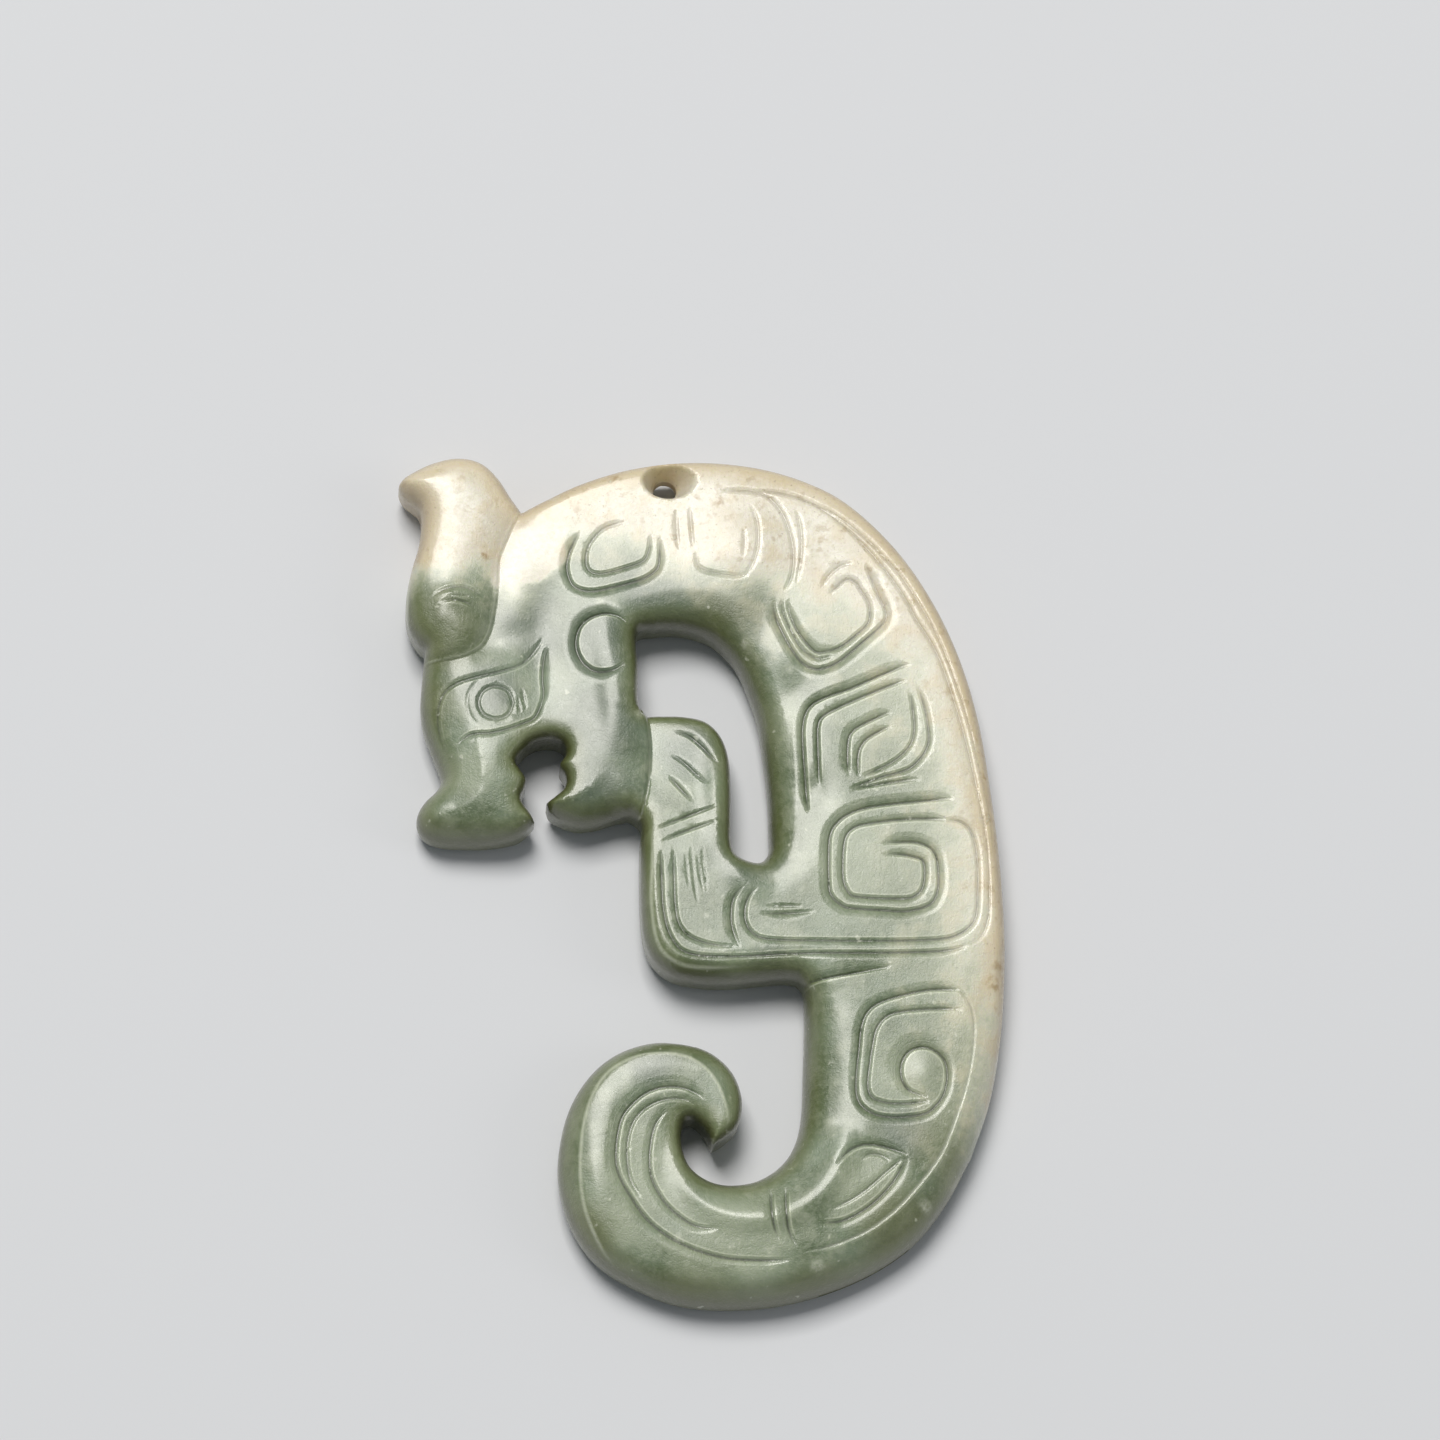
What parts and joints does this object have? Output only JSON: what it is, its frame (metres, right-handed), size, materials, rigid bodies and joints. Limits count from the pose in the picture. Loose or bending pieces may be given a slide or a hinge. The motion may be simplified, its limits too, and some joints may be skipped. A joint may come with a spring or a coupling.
{
  "type": "dragon pendant",
  "caption": "Flat carved jade pendant in the shape of a coiled dragon, with a drilled hole in its back for a hanging cord.",
  "frame": {"origin": "middle of the outline's bounding box, on the plain back that the pendant lies on", "axes": "+Z out of the carved face, +Y towards the arched back with the cord hole, +X away from the snout"},
  "size_m": [0.052, 0.0738, 0.007],
  "materials": {
    "jade": "waxy polish, semi-translucent"
  },
  "bodies": {
    "root": {"dragon_pendant": "jade"}
  },
  "joints": []
}
